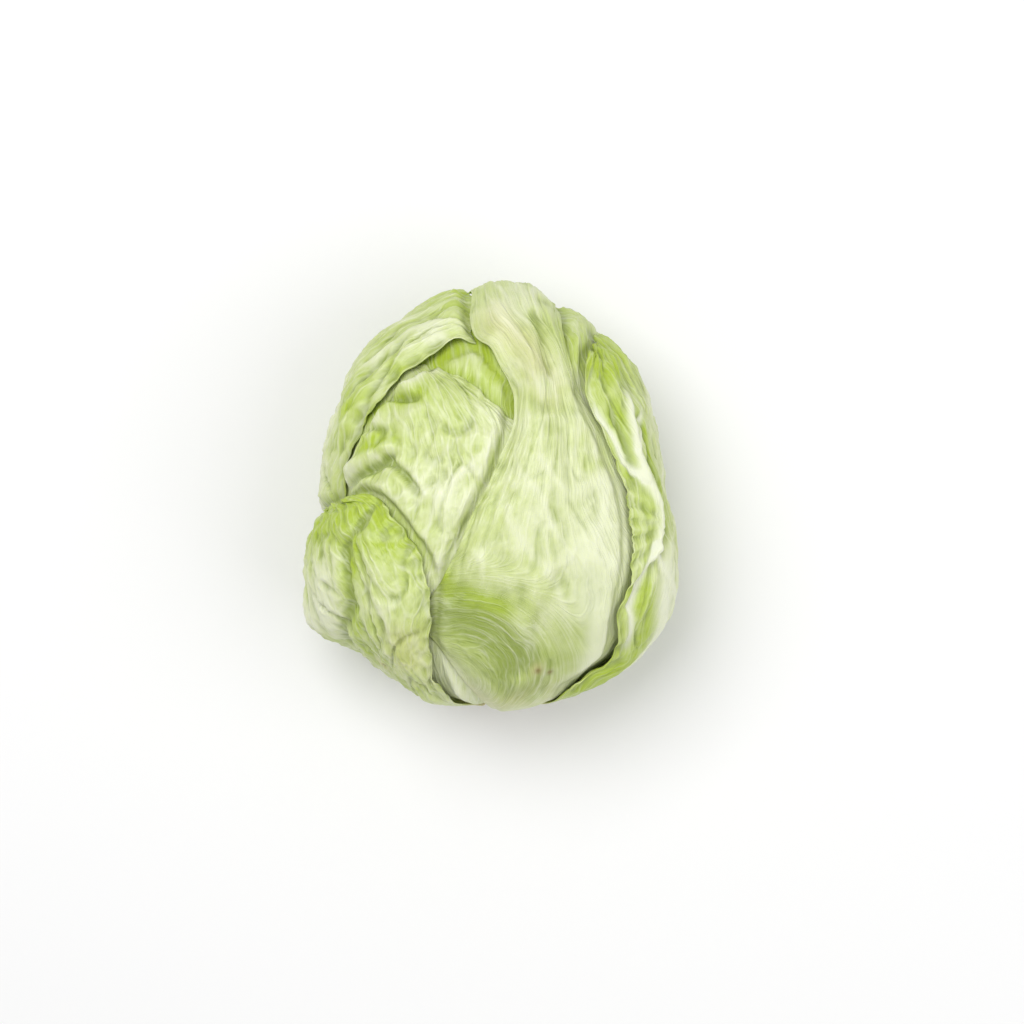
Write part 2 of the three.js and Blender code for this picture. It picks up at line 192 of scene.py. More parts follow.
class Material:
    """A node material whose nodes are added by type, settings and socket values."""

    def __init__(self, name):
        self.made = bpy.data.materials.new(name)
        self.made.use_nodes = True
        self.tree = self.made.node_tree
        self.tree.nodes.clear()

    def node(self, kind, settings=None, values=()):
        """Adds a node and returns its outputs as Sockets. Values go to its inputs by place, or by name."""
        made = self.tree.nodes.new(kind)
        for key, setting in (settings or {}).items():
            setattr(made, key, setting)
        pairs = values.items() if isinstance(values, dict) else enumerate(values)
        for key, value in pairs:
            if isinstance(value, Socket):
                self.tree.links.new(value.link, made.inputs[key])
            else:
                made.inputs[key].default_value = value
        return [Socket(self, out) for out in made.outputs]

    def place(self):
        """The place on the object, in metres."""
        return self.node("ShaderNodeTexCoord")[3]

    def attribute(self, name):
        return self.node("ShaderNodeAttribute", {"attribute_name": name})[2]

    def vector(self, x, y, z):
        return self.node("ShaderNodeCombineXYZ", values=[x, y, z])[0]

    def noise(self, at, scale, detail=2.0, roughness=0.5):
        values = {"Vector": at, "Scale": scale, "Detail": detail, "Roughness": roughness}
        return self.node("ShaderNodeTexNoise", values=values)[0]

    def cell_lines(self, at, scale, thin, wide):
        """1 on the lines between random cells, falling to 0 from thin to wide away from them."""
        values = {"Vector": at, "Scale": scale}
        gap = self.node("ShaderNodeTexVoronoi", {"feature": "DISTANCE_TO_EDGE"}, values)[0]
        return 1 - gap.rising(thin, wide)

    def blend(self, share, below, above):
        """below where share is 0, above where it is 1; both are colours."""
        values = {"Factor": share, 6: below, 7: above}
        return self.node("ShaderNodeMix", {"data_type": "RGBA"}, values)[2]

    def finish(self, values):
        """Ends the material in one Principled surface with these inputs."""
        surface = self.node("ShaderNodeBsdfPrincipled", values=values)[0]
        self.node("ShaderNodeOutputMaterial", values={"Surface": surface})
        return self.made


def heart_material():
    """Pale green clouded with white."""
    skin = Material("heart skin")
    clouds = skin.noise(skin.place(), 60.0).rising(0.35, 0.65)
    return skin.finish({"Base Color": skin.blend(clouds, heart_pale, heart_white), "Roughness": 0.5})


turn = np.linspace(0, 2 * np.pi, heart_columns)
fall = np.linspace(np.pi, 0, heart_rows)[:, None]
ball = [np.sin(fall) * np.cos(turn), np.sin(fall) * np.sin(turn), np.cos(fall) + 0 * turn]
ball = np.stack(ball, axis=-1)
heart_points = ball * heart_radius(ball)[..., None]
heart = add_surface("heart", heart_points, grid_faces(heart_rows, heart_columns), heart_material())
weld(heart)
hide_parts("heart")
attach(heart, "root")

# The stem: cut off just outside the lowest leaves, it leaves a round butt of pale, moist flesh that browns at
# the rim and has a ring of sap vessels round its pith.
stem_radius = 15
stem_proud = 9
stem_length = 30
stem_sides = 72
flesh = (0.78, 0.72, 0.5, 1)
browned = (0.46, 0.27, 0.13, 1)
stem_green = (0.66, 0.7, 0.4, 1)
cut_face = [(0, 0), (3, 0.3), (7, 0.1), (11, -0.2), (13.6, -0.6), (14.8, -1.8)]  # radius and height
stem_side = [(15, -4), (14.6, -9), (13.6, -16), (12, -24), (10, -stem_length), (0, -stem_length)]


def stem_material():
    """Flesh with a brown ring of vessels and a browned rim, green down the side."""
    skin = Material("stem flesh")
    from_middle = skin.attribute("from_middle")
    stain = skin.noise(skin.place(), 220.0, 4.0)
    vessels = 1 - (from_middle + 0.25 * stain - 0.75).magnitude().rising(0.0, 0.09)
    rim = (from_middle + 0.5 * stain).rising(0.95, 1.2)
    cut_colour = skin.blend((rim + 0.45 * vessels).clamped(0.0, 1.0), flesh, browned)
    colour = skin.blend(skin.attribute("along_stem"), cut_colour, stem_green)
    return skin.finish({"Base Color": colour, "Roughness": 0.62})


stem_reach = float(heart_radius(stem_axis)) + stem_proud
side_way = np.cross(stem_axis, [0, 0, 1.0])
side_way /= np.linalg.norm(side_way)
rise_way = np.cross(side_way, stem_axis)
turns = np.linspace(0, 2 * np.pi, stem_sides + 1)
stem_profile = np.array(cut_face + stem_side)
spread = stem_profile[:, :1]
depth = stem_profile[:, 1:]
lobes = 1 + 0.03 * np.sin(5 * turns + 1) + 0.02 * np.sin(9 * turns)
round_way = np.cos(turns)[:, None] * side_way + np.sin(turns)[:, None] * rise_way
stem = add_surface(
    "stem",
    (spread * lobes)[..., None] * round_way + (stem_reach + depth)[..., None] * stem_axis,
    grid_faces(len(stem_profile), stem_sides + 1),
    stem_material(),
    from_middle=spread / stem_radius + 0 * turns,
    along_stem=smoothstep(1, 5, -depth) + 0 * turns,
)
weld(stem)
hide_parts("stem")
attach(stem, "root")

# How the leaves overlap. Eleven leaves grow from the stem and wrap the heart one over another, each lying on
# those inside it. A leaf's form depends on what lies under and over it, so all their edges are placed here,
# in order.
layer_gap = 1.6
blade = 1.0
overhang = 5.5  # how far past a leaf's edge the leaf above it stays up
drop_width = 13  # and over how much more it comes down
clearance = 8  # how far from the edge of a leaf over it a leaf has risen to its full height
chart_radius = 80  # a leaf's flat map: millimetres for one radian of the head
stem_clear = stem_radius + 2.5
base_half_width = 17
rib_half_width = 13
rib_taper = 8
rib_reach = 0.8  # share of the leaf's length over which its midrib dies out
outline_steps = 20
leaves = {}


def bell(distance, reach):
    """1 where distance is 0, falling smoothly to about a third at reach and almost to 0 at twice that."""
    return np.exp(-((distance / reach) ** 2))


def towards(places):
    """Directions from the head's middle to places given in plan, on the upper side (1) or underside (-1)."""
    x, y, side = np.array(places, float).T
    across = np.minimum(np.hypot(x, y) / (plan_radius(np.arctan2(y, x)) + stack_under), 1)
    tall = np.where(side > 0, heart_top, heart_under) + stack_under
    d = np.stack([x, y, side * tall * (1 - across**squareness) ** (1 / squareness)], axis=-1)
    return d / np.linalg.norm(d, axis=-1, keepdims=True)


def along(points, t):
    """A Catmull-Rom curve through points, with t from 0 to 1 in step with its length."""
    sides = np.linalg.norm(np.diff(points, axis=0), axis=1)
    starts = np.concatenate([[0], np.cumsum(sides)])
    at = np.clip(t, 0, 1) * starts[-1]
    i = np.clip(np.searchsorted(starts, at, side="right") - 1, 0, len(sides) - 1)
    near = [points[np.clip(i + k, 0, len(points) - 1)] for k in (-1, 0, 1, 2)]
    return cubic(*near, ((at - starts[i]) / sides[i])[..., None])


def nearest_side(path, at):
    """Distance from places on a leaf's map to the nearest stretch of a line through points."""
    nearest = np.full(at.shape[:-1], np.inf)
    for a, b in zip(path[:-1], path[1:]):
        t = np.clip((at - a) @ (b - a) / ((b - a) @ (b - a) + 1e-12), 0, 1)
        nearest = np.minimum(nearest, np.linalg.norm(at - a - t[..., None] * (b - a), axis=-1))
    return nearest


class Leaf:
    """A leaf's flat map of the head: y runs from stem to tip and x across, both from the leaf's middle."""

    def __init__(self, name, middle, tip, rib, left, right):
        self.layer = len(leaves)
        self.tip = tip
        self.rib = rib
        self.out = towards([middle])[0]
        up = self.out * (stem_axis @ self.out) - stem_axis
        self.up = up / np.linalg.norm(up)
        self.sideways = np.cross(self.up, self.out)
        stem_at = self.flat(stem_axis)
        self.base_y = stem_at[1] + stem_clear
        self.left = np.vstack([[stem_at[0] - base_half_width, self.base_y], self.flat(towards(left))])
        self.right = np.vstack([[stem_at[0] + base_half_width, self.base_y], self.flat(towards(right))])
        self.length = self.place(0.0, 1.0)[1] - self.base_y
        t = np.arange(outline_steps) / outline_steps
        up_left = self.place(-1 + 0 * t, t)
        over_tip = self.place(2 * t - 1, 1 + 0 * t)
        down_right = self.place(1 + 0 * t, 1 - t)
        self.outline = np.vstack([up_left, over_tip, down_right])
        leaves[name] = self

    def flat(self, d):
        """Directions to places on the map: their angle from the middle, measured along the head."""
        x, y = d @ self.sideways, d @ self.up
        angle = np.arccos(np.clip(d @ self.out, -1, 1))
        scale = chart_radius * angle / np.maximum(np.hypot(x, y), 1e-9)
        return np.stack([x, y], axis=-1) * scale[..., None]

    def direction(self, at):
        """Places on the map back to directions."""
        far = np.maximum(np.hypot(at[..., 0], at[..., 1]), 1e-9)
        k = np.sin(far / chart_radius) / far
        sideways = (at[..., 0] * k)[..., None] * self.sideways
        upwards = (at[..., 1] * k)[..., None] * self.up
        return np.cos(far / chart_radius)[..., None] * self.out + sideways + upwards

    def place(self, u, v):
        """u runs across from the left edge (-1) to the right (1), and v from the stem (0) to the tip (1). The
        tip bulges past the straight line between the two edges."""
        u, v = np.asarray(u, float), np.asarray(v, float)
        a, b = along(self.left, v), along(self.right, v)
        chord = b - a
        onward = np.stack([-chord[..., 1], chord[..., 0]], axis=-1)
        onward = onward / np.linalg.norm(chord, axis=-1, keepdims=True)
        bulge = (1 - u * u) ** 2 * v**3 * self.tip
        return a + chord * ((u + 1) / 2)[..., None] + onward * bulge[..., None]

    def depth(self, at):
        """Distance inside the leaf's outline, negative outside it, where a ray crosses it an even number of
        times."""
        ring = np.vstack([self.outline, self.outline[:1]])
        crossings = np.zeros(at.shape[:-1], int)
        for (ax, ay), (bx, by) in zip(ring[:-1], ring[1:]):
            crossing = (ay > at[..., 1]) != (by > at[..., 1])
            reach = ax + (at[..., 1] - ay) / (by - ay if by != ay else 1) * (bx - ax)
            crossings += crossing & (at[..., 0] < reach)
        return np.where(crossings % 2, 1, -1) * nearest_side(ring, at)

    def cover(self, d):
        """How far the leaf is laid over directions: 1 inside its edge, falling to 0 past it."""
        return smoothstep(-drop_width, 0, overhang + self.depth(self.flat(d)))

    def rib_share(self, d):
        """The midrib is broad at the stem and dies out towards the tip."""
        at = self.flat(d)
        gone = np.clip((at[..., 1] - self.base_y) / (rib_reach * self.length), 0, 1)
        return (1 - gone) * bell(at[..., 0], rib_half_width - rib_taper * gone)

    def stack_below(self, d):
        """Height of the leaves inside this one."""
        total = 0
        for inner in list(leaves.values())[: self.layer]:
            total = total + inner.cover(d) * (layer_gap + blade + inner.rib * inner.rib_share(d))
        return total

    def bareness(self, d):
        """1 where nothing lies over the leaf, falling to 0 at the edge of a leaf over it."""
        total = 1
        for outer in list(leaves.values())[self.layer + 1 :]:
            total = total * (1 - smoothstep(-clearance, -1, outer.depth(outer.flat(d))))
        return total


Leaf(
    "cap_leaf_under", (0, 10, -1), tip=45, rib=1.2,
    left=[(48, -45, -1), (68, -5, -1), (66, 40, -1), (54, 68, -1)],
    right=[(-44, -45, -1), (-62, -5, -1), (-60, 40, -1), (-52, 66, -1)],
)
Leaf(
    "cap_leaf_top", (0, 10, 1), tip=30, rib=1.2,
    left=[(-44, -50, 1), (-62, -8, 1), (-60, 38, 1), (-52, 62, -1)],
    right=[(46, -50, 1), (66, -5, 1), (64, 40, 1), (50, 62, -1)],
)
Leaf(
    "shoulder_leaf", (54, 4, 1), tip=30, rib=1.5,
    left=[(20, -50, 1), (18, -10, 1), (22, 35, 1), (28, 72, 1)],
    right=[(64, -50, -1), (76, -10, -1), (74, 30, -1), (56, 66, -1)],
)
Leaf(
    "right_under_leaf", (42, 0, -1), tip=32, rib=2,
    left=[(70, -50, -1), (79, -12, -1), (77, 25, -1), (62, 58, -1)],
    right=[(0, -50, -1), (-12, -10, -1), (-10, 35, -1), (8, 68, -1)],
)
Leaf(
    "left_under_leaf", (-40, 0, -1), tip=28, rib=2,
    left=[(5, -52, -1), (14, -10, -1), (10, 35, -1), (-6, 66, -1)],
    right=[(-70, -50, -1), (-77, -15, -1), (-74, 25, -1), (-58, 58, -1)],
)
Leaf(
    "left_leaf", (-34, 2, 1), tip=3, rib=1.8,
    left=[(-64, -56, -1), (-78, -15, -1), (-76, 30, -1), (-56, 63, -1)],
    right=[(8, -55, 1), (24, -12, 1), (20, 28, 1), (0, 50, 1), (-20, 62, 1)],
)
Leaf(
    "crown_leaf", (-70, 18, -1), tip=24, rib=2,
    left=[(-40, -60, -1), (-48, -20, -1), (-44, 20, -1), (-30, 55, -1), (-8, 74, -1)],
    right=[
        (-70, -45, 1), (-74, -8, 1), (-66, 22, 1), (-54, 44, 1),
        (-41, 58, 1), (-27, 68, 1), (-15, 74, 1), (-6, 77, 1),
    ],
)
Leaf(
    "front_leaf", (38, -4, 1), tip=24, rib=2,
    left=[
        (-28, -60, 1), (-20, -34, 1), (-8, -8, 1), (4, 16, 1), (11, 38, 1),
        (11, 58, 1), (2, 71, 1), (-8, 80, 1), (-10, 97, 1),
    ],
    right=[
        (58, -68, -1), (76, -34, -1), (74, 2, 1), (62, 30, 1), (49, 46, 1),
        (42, 58, 1), (37, 72, 1), (34, 82, 1), (31, 92, 1),
    ],
)
Leaf(
    "ribbed_leaf", (76, -10, 1), tip=16, rib=5,
    left=[
        (36, -83, 1), (55, -72, 1), (58, -52, 1), (63, -26, 1), (62, -2, 1),
        (57, 16, 1), (50, 35, 1), (44, 51, 1), (46, 69, 1),
    ],
    right=[(36, -68, -1), (58, -38, -1), (66, 2, -1), (68, 36, -1), (66, 56, -1)],
)
Leaf(
    "bottom_leaf", (2, -4, -1), tip=26, rib=3,
    left=[(38, -58, -1), (52, -24, -1), (53, 14, -1), (40, 50, -1)],
    right=[(-34, -58, -1), (-46, -24, -1), (-47, 14, -1), (-34, 50, -1)],
)
Leaf(
    "hood_leaf", (-66, -42, 1), tip=2, rib=3,
    left=[(-30, -70, -1), (-46, -60, -1), (-58, -46, -1), (-68, -28, -1), (-76, -10, -1)],
    right=[
        (-24, -76, 1), (-26, -60, 1), (-25, -42, 1), (-30, -25, 1), (-42, -9, 1), (-53, 2, 1), (-63, 3, 1),
    ],
)

# The cap leaves: the first whole leaves round the heart, thin, smooth and bright green where light reached
# them. One closes over the top, the other over the underside.
plain_grid = (110, 80)  # rows along a leaf and columns across it
fine_grid = (190, 136)
finest_grid = (230, 176)
usual_half_width = 50
usual_length = 170
uv_width = 300
broad_width = 30  # where a leaf is narrower than this, its edge is less ragged and less wavy
edge_reach = 15  # how far in from its edge a free leaf flares and waves
frill_reach = 5
soft_edge = 8  # folds and crumples rise over this much
thin_edge = 4
tuck_reach = 5
green_margin = 22
vein_height = 0.4
vein_count = 8
vein_sweep = 0.42
crease_depth = 0.9
relief_steps = 30  # how many times heights are smoothed to tell ridges from hollows
stroke_fade = 10
speck_radius = 1.3
rest_spot = 30  # radius of the flat spot where the lowest leaf sags onto the surface
leaf_white = (0.80, 0.83, 0.62, 1)
leaf_pale = (0.63, 0.69, 0.36, 1)
leaf_green = (0.40, 0.53, 0.035, 1)
# deep green, also the colour of the painted shade in hollows and folds
deep_green_and_shade = (0.24, 0.315, 0.05, 1)
leaf_warm = (0.66, 0.58, 0.30, 1)
leaf_speck = (0.19, 0.13, 0.03, 1)


def grain(points, seed):
    """Gradient noise from 0 to 1: at each corner of a unit lattice a random slope, eased between."""
    cell = np.floor(points)
    inside = points - cell
    eased = inside**3 * (inside * (inside * 6 - 15) + 10)
    total = 0
    for corner in np.ndindex(2, 2, 2):
        turned = np.sin((cell + corner) @ [12.7, 31.1, 7.5] + seed * 5.33)
        large = turned[..., None] * [437.585, 219.143, 613.271]
        slope = 2 * (large - np.floor(large)) - 1
        weight = np.where(corner, eased, 1 - eased).prod(axis=-1)
        total = total + weight * ((inside - corner) * slope).sum(axis=-1)
    return np.clip(0.5 + 0.75 * total, 0, 1)


def ridged(value):
    """1 where value is halfway between 0 and 1, falling straight to 0 on either side."""
    return 1 - np.abs(2 * value - 1)


def softened(height, times):
    """A grid of heights with each value replaced by the mean of its neighbours, over and over."""
    for _ in range(times):
        padded = np.pad(height, 1, mode="edge")
        height = (padded[:-2, 1:-1] + padded[2:, 1:-1] + padded[1:-1, :-2] + padded[1:-1, 2:]) / 4
    return height


def leaf_skin(name, fibre=0.3, veining=0.3, patchy=1.0):
    """Leaf skin: white to green by the leaf's own share and soft patches, white on the ribs, with painted
    shade in hollows and folds, streaked by its fibres and crossed by its veins."""
    skin = Material(name)
    place = skin.place()
    across = skin.attribute("across")
    up = skin.attribute("along")
    clouds = skin.noise(place, 15.0, 3.0, 0.55)
    wander = skin.noise(place, 35.0, 2.0)
    fine = skin.noise(place, 260.0, 4.0, 0.6)

    streaks = skin.noise(skin.vector(across * 34 + wander * 5, up * 5, wander * 2), 1.0, 3.0, 0.65)
    pale_streaks = streaks.rising(0.5, 0.68)
    dark_streaks = 1 - streaks.rising(0.34, 0.5)
    fibre = skin.attribute("fibre") + fibre
    fan = skin.vector(across * 9 + wander * 2, up * 5.5 + clouds, wander)
    veins = skin.cell_lines(fan, 1.0, 0.01, 0.09)
    net = skin.cell_lines(fan, 3.2, 0.02, 0.2)

    patches = (clouds - 0.5) * 1.9 + (wander - 0.5) * 1.1
    mottle = patches * patchy + (fine - 0.5) * 0.35 - pale_streaks * fibre * 0.3
    tint = skin.attribute("green") + mottle
    greenness = tint.clamped(0.0, 1.0)
    whiteness = ((0.25 - tint) * 1.2).clamped(0.0, 0.65)
    # Painted shade in hollows and fold valleys, with the leaf's dark marks, deeper where the streaks are
    # dark.
    in_creases = skin.attribute("crease") * (0.7 + dark_streaks * 0.3)
    between_fibres = dark_streaks * (greenness + 0.3) * fibre * 0.5
    vein_marks = pale_streaks * fibre * 0.3 + veins * veining + net * veining * 0.35
    on_veins = vein_marks * (1.1 - greenness * 0.55)
    warmth = skin.attribute("warm") * (0.5 + streaks)

    colour = skin.blend(greenness, leaf_pale, leaf_green)
    colour = skin.blend(whiteness, colour, leaf_white)
    colour = skin.blend((in_creases + between_fibres).clamped(0.0, 0.85), colour, deep_green_and_shade)
    colour = skin.blend(on_veins.clamped(0.0, 0.7), colour, leaf_white)
    colour = skin.blend(skin.attribute("rib").clamped(0.0, 0.92), colour, leaf_white)
    colour = skin.blend(warmth.clamped(0.0, 0.8), colour, leaf_warm)
    colour = skin.blend(skin.attribute("speck").clamped(0.0, 0.8), colour, leaf_speck)
    height = veins * 0.5 + net * 0.3 + streaks * (fibre + 0.2) + fine * 0.25
    bump = skin.node("ShaderNodeBump", values={"Strength": 0.4, "Distance": 0.0008, "Height": height})[0]
    return skin.finish({
        "Base Color": colour,
        "Roughness": 0.4,
        "Normal": bump,
        "Subsurface Weight": 0.25,
        "Subsurface Radius": (1.0, 1.0, 0.5),
        "Subsurface Scale": 0.002,
    })


def drawn(leaf, at, strokes):
    """The sum of soft strokes and spots, each (height or share, half width, one or more points in plan). A
    stroke fades out just before its last point."""
    total = 0 * at[..., 0]
    for share, half, *points in strokes:
        line = leaf.flat(towards([(x, y, 1) for x, y in points]))
        mark = share * bell(nearest_side(np.vstack([line, line[-1:]]), at), half)
        if len(points) > 1:
            mark = mark * smoothstep(0, stroke_fade, np.linalg.norm(at - line[-1], axis=-1))
        total = total + mark
    return total


def ragged(leaf, u, v, at, broad):
    """Places with the leaf's side edges and tip drawn in and out a little."""
    uneven = grain(np.stack([u * 5, v * 12, 0 * u + leaf.layer], axis=-1), 7) - 0.5
    return at + broad[..., None] * np.stack([5 * uneven * u**3, 7 * uneven * v**6], axis=-1)


def waved_edge(leaf, at, inwards, broad, wander, flare, ruffle, waves):
    """Height along a free edge: it flares and ruffles, and its last millimetres frill in shorter waves."""
    free = smoothstep(0.02, 0.35, (at[..., 1] - leaf.base_y) / leaf.length) * broad
    turned = np.arctan2(at[..., 0], at[..., 1])
    wave = 0.5 + 0.5 * np.sin(waves * turned + 5 * wander)
    frill = np.sin(waves * 2.7 * turned + 9 * wander)
    edge = bell(inwards, edge_reach) * free * (flare + ruffle * wave)
    return edge + 0.3 * ruffle * bell(inwards, frill_reach) * free * frill


def crumples(leaf, d):
    """Broad, rounded ridges in two sizes."""
    swells = 0.65 * grain(d * 2.3, leaf.layer * 2 + 40) + 0.35 * grain(d * 4.9, leaf.layer * 2 + 41)
    return ridged(swells) ** 3


def threads(u, v, spacing, reach, seed, warp=0.9):
    """Ridged noise drawn out along a leaf: 1 on its ridges, about spacing apart across and reach along."""
    at = np.stack([u * usual_half_width / spacing, v * usual_length / reach, 0 * u + seed], axis=-1)
    bent = at + warp * np.stack([grain(at * 0.6, seed + 5), grain(at * 0.6, seed + 6), 0 * u], axis=-1)
    return ridged(grain(bent, seed))


def crinkles(leaf, u, v):
    """Long creases in the blade: ridges in two sizes, and narrow pinched lines between them."""
    pulled = threads(u, v, 9, 30, leaf.layer + 100) ** 2 + 0.5 * threads(u, v, 4, 12, leaf.layer + 120) ** 2
    pinched = 1 - smoothstep(0, 0.16, 1 - threads(u, v, 13, 34, leaf.layer + 140, 1.6))
    return 1.5 * pulled - 1.1 * pinched


def side_veins(u, v, wander):
    """1 on lines that leave the midrib and sweep towards the tip, a little out of step on either side of it,
    and that die out towards the leaf's side edges."""
    out = np.abs(u)
    phase = vein_count * (v - vein_sweep * out**1.25) + 0.5 * (u > 0) + 1.3 * wander
    return bell(phase - np.round(phase), 0.13) * smoothstep(0.02, 0.2, out) * (1 - smoothstep(0.5, 1, out))


def blisters(leaf, d):
    """Puffs between the veins, in two sizes."""
    large = ridged(grain(d * 12, leaf.layer + 60))
    small = ridged(grain(d * 26, leaf.layer + 80))
    return 1.6 * large**2 + 0.8 * small**2


def vein_run(leaf, at, u, v, curl):
    """Where the skin's fibres run: along u and v, and in the ring that curl names, round its place."""
    half, radius, x, y = curl
    gone = at - leaf.flat(towards([(x, y, 1)]))[0]
    far = np.linalg.norm(gone, axis=-1)
    share = smoothstep(0, 0.6, bell(far - radius, half))
    turned = np.arctan2(gone[..., 0], gone[..., 1])
    return u + share * (far / usual_half_width - u), v + share * (turned * radius / usual_length - v)


def add_blade(name, d, at, outer, inner, skin, **marks):
    """A closed blade between the outer and inner distances along directions, joined round its rim. Its UV map
    is the leaf's flat map."""
    rows, columns = outer.shape
    count = rows * columns
    number = np.arange(count).reshape(rows, columns)
    ring = np.concatenate([number[0, :-1], number[:-1, -1], number[-1, :0:-1], number[:0:-1, 0]])
    after = np.roll(ring, -1)
    rim = np.stack([ring, ring + count, after + count, after], axis=1)
    return add_surface(
        name,
        np.concatenate([(d * side[..., None]).reshape(-1, 3) for side in (outer, inner)]),
        np.concatenate([grid_faces(rows, columns), grid_faces(rows, columns, count)[:, ::-1], rim]),
        skin,
        uv=np.concatenate([at.reshape(-1, 2)] * 2) / uv_width + 0.5,
        **{key: np.concatenate([values.ravel()] * 2) for key, values in marks.items()},
    )


def wrap_leaf(
    name, skin, grid=plain_grid, flare=0.0, ruffle=0.0, waves=9, crumple=0.0, loft=0.5, crinkle=0.8,
    blister=0.3, green=0.5, margin_green=0.3, folds=(), ribs=(), greens=(), darks=(), warms=(), fibres=(),
    specks=(), curl=None, lowest=False,
):
    """Lays a leaf on what is inside it. Where nothing lies over it, its edge flares and ruffles, its blade
    crumples and its folds rise, the hollows of its relief are painted dark as painted shade and its ridges
    paler as painted light. Folds, ribs (folds that are white) and green, dark, warm and fibrous marks are
    strokes, and specks are points; the dark marks are added to that painted shade. Where fibres curl round a
    place, curl is (half width of the ring, its radius, x, y)."""
    leaf = leaves[name]
    rows, columns = grid
    v, u = np.meshgrid(np.linspace(0, 1, rows), np.linspace(-1, 1, columns), indexing="ij")
    at = leaf.place(u, v)
    inwards = np.maximum(leaf.depth(at), 0)
    width = np.linalg.norm(at[:, -1] - at[:, 0], axis=-1)[:, None]
    broad = np.clip(width / broad_width, 0, 1)
    at = ragged(leaf, u, v, at, broad)
    d = leaf.direction(at)
    bare = leaf.bareness(d)
    away = smoothstep(0.05, 0.3, v)
    within = 1 - bell(inwards, soft_edge)
    wander = noise(d * 3, leaf.layer + 20)
    veins = side_veins(u, v, wander) * away
    rib = leaf.rib_share(d)
    white = rib * smoothstep(0.2, 0.8, rib) + drawn(leaf, at, [(1, *rest) for _, *rest in ribs])
    stiff = np.clip(1 - white, 0, 1)

    height = waved_edge(leaf, at, inwards, broad, wander, flare, ruffle, waves)
    height = height + (crumple * crumples(leaf, d) + loft * away + drawn(leaf, at, [*folds, *ribs])) * within
    height = height + crinkle * away * stiff * crinkles(leaf, u, v)
    fine_height = vein_height * veins + stiff * blister * blisters(leaf, d) * (1 - veins) * away
    height = bare * np.maximum(height, 0) + fine_height * (0.3 + 0.7 * bare)

    thick = blade * (1 - 0.55 * bell(inwards, thin_edge)) + leaf.rib * rib
    tucked = (layer_gap - 0.5) * bell(inwards, tuck_reach)
    lower = heart_radius(d) + layer_gap + leaf.stack_below(d) + height - tucked
    surface = np.where(d[..., 2] < -least_fall, surface_reach(d), np.inf)
    if lowest:
        beyond = np.hypot(d[..., 0], d[..., 1]) * surface_reach(d)
        sag = smoothstep(rest_spot + 10, rest_spot, beyond)
        lower = lower + sag * np.maximum(np.where(sag > 0, surface, 0) - lower - thick, 0)
    outer = np.minimum(lower + thick, surface)
    inner = np.minimum(lower, outer - 0.4 * blade)

    # Painted light and shade from the relief: hollows get painted shade towards deep green, and ridges are
    # painted paler as painted light.
    relief = height - softened(height, relief_steps)
    crease = np.clip(-relief / crease_depth, 0, 1) * smoothstep(0, 0.3, bare)
    tint = green + margin_green * bell(inwards, green_margin) - 0.5 * (1 - smoothstep(0, 0.3, v))
    tint = tint - 0.3 * np.clip(relief / 1.2, 0, 1) - 0.5 * vein_height * veins
    base_warmth = 0.5 * (1 - smoothstep(0, 0.14, v)) * (0.4 + 1.2 * wander)
    across, up = vein_run(leaf, at, u, v, curl) if curl else (u, v)
    obj = add_blade(
        name, d, at, outer, inner, skin,
        green=tint + drawn(leaf, at, greens),
        crease=crease + drawn(leaf, at, darks),
        rib=white,
        warm=base_warmth + drawn(leaf, at, warms),
        speck=drawn(leaf, at, [(1, speck_radius, place) for place in specks]),
        fibre=drawn(leaf, at, fibres),
        across=across,
        along=up,
    )
    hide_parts(name)
    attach(obj, "root")


inner_skin = leaf_skin("inner leaf")
wrap_leaf("cap_leaf_under", inner_skin)
wrap_leaf(
    "cap_leaf_top", inner_skin, fine_grid,
    flare=0.5, ruffle=1, crumple=1.2, crinkle=0.5, blister=0.5, green=1.15,
)

# The shoulder leaf: a soft, crumpled leaf that grows from the stem over the head's right shoulder. It shows
# in the valley at the upper right, between the front leaf and the ribbed leaf.
wrap_leaf(
    "shoulder_leaf", inner_skin, fine_grid,
    flare=1, ruffle=1.5, waves=13, crumple=2.4, loft=1, crinkle=1, blister=0.6, green=0.3,
)

# The leaves of the underside: large outer leaves pressed flat by the head's weight, the lowest sagging onto
# the surface it lies on.
under_skin = leaf_skin("underside leaf")
for name in ("right_under_leaf", "left_under_leaf"):
    wrap_leaf(name, under_skin, flare=1, ruffle=1.5, waves=11, crumple=2, crinkle=1)
wrap_leaf(
    "bottom_leaf", under_skin,
    ruffle=1, waves=12, crumple=1.5, loft=0, blister=0, lowest=True,
)

# The left leaf: a broad leaf wrapped over the left half from the stem, folded and crumpled at its upper end,
# smooth and pale lower down. The front leaf and the hood leaf lie over its edges.
wrap_leaf(
    "left_leaf", leaf_skin("left leaf"), finest_grid,
    flare=0.3, ruffle=1.2, waves=12, crumple=2, loft=2.5, crinkle=0.7, blister=0.35, green=0.4,
    margin_green=0.2,
    folds=[
        (3, 3.2, (-72, 10), (-58, 18), (-46, 24.5), (-40, 27)),
        (-4.3, 2.2, (-68, 5.5), (-58, 13), (-50, 17), (-45, 20), (-40, 24)),
        (-3.8, 2.2, (-47, 19.5), (-41, 15), (-36, 10), (-32, 5), (-29, 0)),
        (1.8, 4, (-62, -2), (-50, 7), (-40, 8)),
        (2, 3.5, (-56, 54), (-42, 53), (-28, 51)),
        (-3, 2, (-58, 48), (-44, 48), (-28, 46)),
        (-2.5, 2, (-66, 30), (-54, 34), (-44, 32)),
    ],
    greens=[
        (0.5, 5, (-66, 18), (-56, 23), (-46, 30)),
        (0.8, 5, (-62, 41), (-44, 46), (-22, 51)),
        (0.3, 5, (-64, 5), (-48, 16)),
        (0.4, 8, (-66, -4)),
        (-0.15, 14, (-36, -4), (-30, -24)),
        (0.55, 6, (-66, 34), (-52, 28), (-36, 32)),
        (-0.2, 6, (-60, 36), (-44, 38), (-30, 38)),
        (0.15, 20, (-34, -20)),
    ],
)

